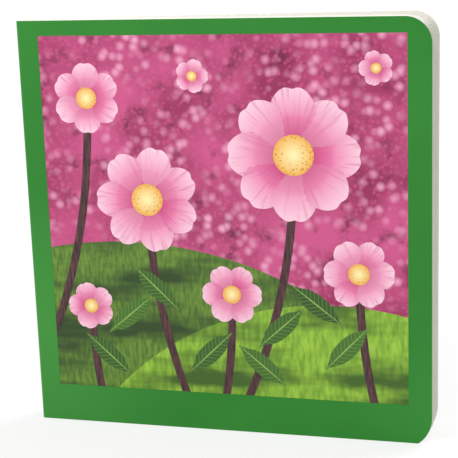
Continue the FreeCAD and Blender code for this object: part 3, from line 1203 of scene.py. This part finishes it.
def make_petal_print():
    material, tree, shader = new_print("petal_print")
    place, across, along = own_map(tree)
    out = length_of(tree, place)
    colour = mix(tree, between(tree, out, 0.24, 0.62), tint(196, 52, 118), tint(236, 128, 176))
    colour = mix(tree, between(tree, out, 0.55, 1.0), colour, tint(252, 208, 226))
    bearing = maths(tree, "ARCTAN2", across, along)
    fan = node(
        tree,
        "ShaderNodeCombineXYZ",
        X=times(tree, bearing, 16.0),
        Y=times(tree, out, 1.6),
        Z=times(tree, own_tone(tree), 40.0),
    ).outputs[0]
    veins = between(tree, noise(tree, fan, 1.0, detail=3.0), 0.52, 0.66)
    colour = mix(tree, times(tree, veins, 0.45), colour, tint(205, 76, 138))
    side = between(tree, maths(tree, "ABSOLUTE", bearing), 0.26, 0.52)
    colour = mix(tree, times(tree, side, 0.40), colour, tint(214, 96, 152))
    pale = spread(tree, own_tone(tree), 0.0, 0.25)
    paint(tree, shader, mix(tree, pale, colour, tint(255, 226, 238)))
    return material


def make_heart_print():
    material, tree, shader = new_print("heart_print")
    place, _, _ = own_map(tree)
    out = length_of(tree, place)
    colour = mix(tree, between(tree, out, 0.1, 1.0), tint(255, 240, 176), tint(240, 178, 74))
    dots = node(tree, "ShaderNodeTexVoronoi", Vector=place, Scale=7.0)
    ring = between(tree, out, 0.30, 0.55)
    pollen = times(tree, between(tree, dots.outputs["Distance"], 0.30, 0.20), ring)
    colour = mix(tree, times(tree, pollen, 0.8), colour, tint(176, 92, 34))
    paint(tree, shader, colour)
    return material


def make_leaf_print():
    material, tree, shader = new_print("leaf_print")
    _, across, along = own_map(tree)
    beside = maths(tree, "ABSOLUTE", across)
    colour = mix(tree, own_tone(tree), tint(44, 84, 26), tint(66, 112, 34))
    slant = maths(tree, "ADD", times(tree, along, 6.0), times(tree, beside, -1.6))
    ripple = maths(tree, "ABSOLUTE", maths(tree, "SUBTRACT", maths(tree, "FRACT", slant), 0.5))
    side_veins = times(tree, between(tree, ripple, 0.10, 0.03), 0.55)
    colour = mix(tree, side_veins, colour, tint(128, 168, 74))
    taper = spread(tree, maths(tree, "ABSOLUTE", along), 1.0, 0.25)
    midrib = between(tree, maths(tree, "DIVIDE", beside, taper), 0.11, 0.05)
    colour = mix(tree, times(tree, midrib, 0.85), colour, tint(150, 186, 92))
    paint(tree, shader, colour)
    return material


def make_stem_print():
    material, tree, shader = new_print("stem_print")
    place = flat_place(tree)
    streaks = noise(tree, place, 900.0, detail=4.0, rough=0.7, stretch=(1.0, 1.0, 0.12))
    colour = mix(tree, between(tree, streaks, 0.38, 0.66), tint(38, 16, 22), tint(104, 62, 66))
    paint(tree, shader, colour)
    return material


FLOWER_PRINTS = [
    (printed_petals, make_petal_print()),
    (printed_hearts, make_heart_print()),
    (printed_leaves, make_leaf_print()),
    (printed_stems, make_stem_print()),
]
for piece, material in FLOWER_PRINTS:
    piece.data.materials.clear()
    piece.data.materials.append(material)
print("Printed", ", ".join(piece.name for piece, _ in FLOWER_PRINTS))

# %% [markdown]
# ## The floor
#
# The book stands on a plain white table. The table is lit like anything else, and adds a glow of
# its own where the camera sees it, also by way of a reflection. The glow is weaker near the book,
# where the lamps already light the table. So it reads white and still keeps the book's soft
# shadow.


# %% Lay the floor
GLOW_NEAR = 0.70
GLOW_FAR = 0.85
NEAR = 0.25
FAR = 1.6
TABLE_LIT = 0.32


def seen_directly(tree):
    """1 for what the camera sees, also by a gloss or glass, and 0 for light between things."""
    rays = node(tree, "ShaderNodeLightPath").outputs
    reflected = maths(tree, "MAXIMUM", rays["Is Glossy Ray"], rays["Is Transmission Ray"])
    return maths(tree, "MAXIMUM", rays["Is Camera Ray"], reflected)


def make_white_table():
    material, tree, shader = new_finish("white_table", roughness=0.9, specular=0.0)
    shader.inputs["Base Color"].default_value = tint(238, 238, 238)
    away = between(tree, distance_from(tree, (0, 0, 0)), NEAR, FAR)
    glow = node(tree, "ShaderNodeEmission", Strength=spread(tree, away, GLOW_NEAR, GLOW_FAR))
    lit = node(tree, "ShaderNodeBsdfDiffuse", Color=(TABLE_LIT, TABLE_LIT, TABLE_LIT, 1))
    white = node(tree, "ShaderNodeAddShader")
    tree.links.new(glow.outputs[0], white.inputs[0])
    tree.links.new(lit.outputs[0], white.inputs[1])
    choice = node(tree, "ShaderNodeMixShader", Fac=seen_directly(tree))
    tree.links.new(shader.outputs[0], choice.inputs[1])
    tree.links.new(white.outputs[0], choice.inputs[2])
    tree.links.new(choice.outputs[0], tree.nodes["Material Output"].inputs["Surface"])
    return material


deselect_all()
bpy.ops.mesh.primitive_plane_add(size=12)
table = bpy.context.object
table.name = "table"
table.data.materials.append(make_white_table())
print("Laid a table", round(table.dimensions.x), "m wide")

# %% [markdown]
# ## The light
#
# Two soft lamps light the book, as in a small photo tent. The window lamp stands high on the left,
# in front, and lights the cover. The rear lamp hangs high behind the book, to its right, and
# lights the card edges that face up and to the right. A third lamp low in front was tried, but the
# varnish mirrored it. The world's even light fills the rest, and a colour then renders about as it
# was written.

# %% Set the lamps and the world
WORLD_LIGHT = 0.50
LAMPS = [
    ("window_lamp", (-0.85, -1.15, 1.05), 0.9, 16.2, (1.0, 0.985, 0.96)),
    ("rear_lamp", (0.65, 0.70, 1.20), 0.9, 12.0, (1.0, 0.985, 0.97)),
]

for name, place, size, power, colour in LAMPS:
    bpy.ops.object.light_add(type="AREA", location=place)
    lamp = bpy.context.object
    lamp.name = name
    lamp.data.shape = "DISK"
    lamp.data.size = size
    lamp.data.energy = power
    lamp.data.color = colour
    lamp.rotation_mode = "QUATERNION"
    aim = Vector((0, 0, BOOK_HEIGHT / 2)) - Vector(place)
    lamp.rotation_quaternion = aim.to_track_quat("-Z", "Y")

world = bpy.data.worlds.new("studio")
bpy.context.scene.world = world
world.use_nodes = True
around = world.node_tree.nodes["Background"]
strength = spread(world.node_tree, seen_directly(world.node_tree), WORLD_LIGHT, 1.0)
world.node_tree.links.new(strength, around.inputs["Strength"])
around.inputs["Color"].default_value = (1, 1, 1, 1)
bpy.context.scene.view_settings.view_transform = "Standard"
print("Set", len(LAMPS), "lamps")

# %% [markdown]
# ## Joining the pieces to the book's bodies
# The book opens at two hinges, so each piece is told which body it moves with, and the plain
# solids of the frame that it stands for are hidden. The strips at the two seams get no body here:
# each only has its place put into its mesh.

# %% Hand over
PARTS = [
    (front_board, "front_cover", "cover_green", ["front_cover"]),
    (back_board, "back_cover", "cover_green", ["back_cover"]),
    (page_leaves, "book_block", "board_white", ["page_block"]),
    (spine_strip, "book_block", "cover_green", ["spine"]),
    (printed_petals, "front_cover", "petal_pink", ["picture_petals"]),
    (printed_hearts, "front_cover", "heart_yellow", ["picture_hearts"]),
    (printed_leaves, "front_cover", "leaf_green", ["picture_leaves"]),
    (printed_stems, "front_cover", "stem_brown", ["picture_stems"]),
]
for piece, body, slot, nodes in PARTS:
    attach(piece, body)
    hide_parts(*nodes)

# The strips at a seam, each with its cover, a slot, and the seam's span from the block's side of it
# to the cover's
BENDS = [
    (front_fold, "front_cover", "cover_green", spine_low[1], FRONT_HINGE_Y),
    (back_fold, "back_cover", "cover_green", spine_high[1], BACK_HINGE_Y),
    (front_paper, "front_cover", "board_white",
     spine_low[1] - FLAP_DEPTH, FRONT_HINGE_Y + FLAP_DEPTH),
    (back_paper, "back_cover", "board_white",
     spine_high[1] + FLAP_DEPTH, BACK_HINGE_Y - FLAP_DEPTH),
]
for piece, cover, slot, start_y, end_y in BENDS:
    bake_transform(piece)
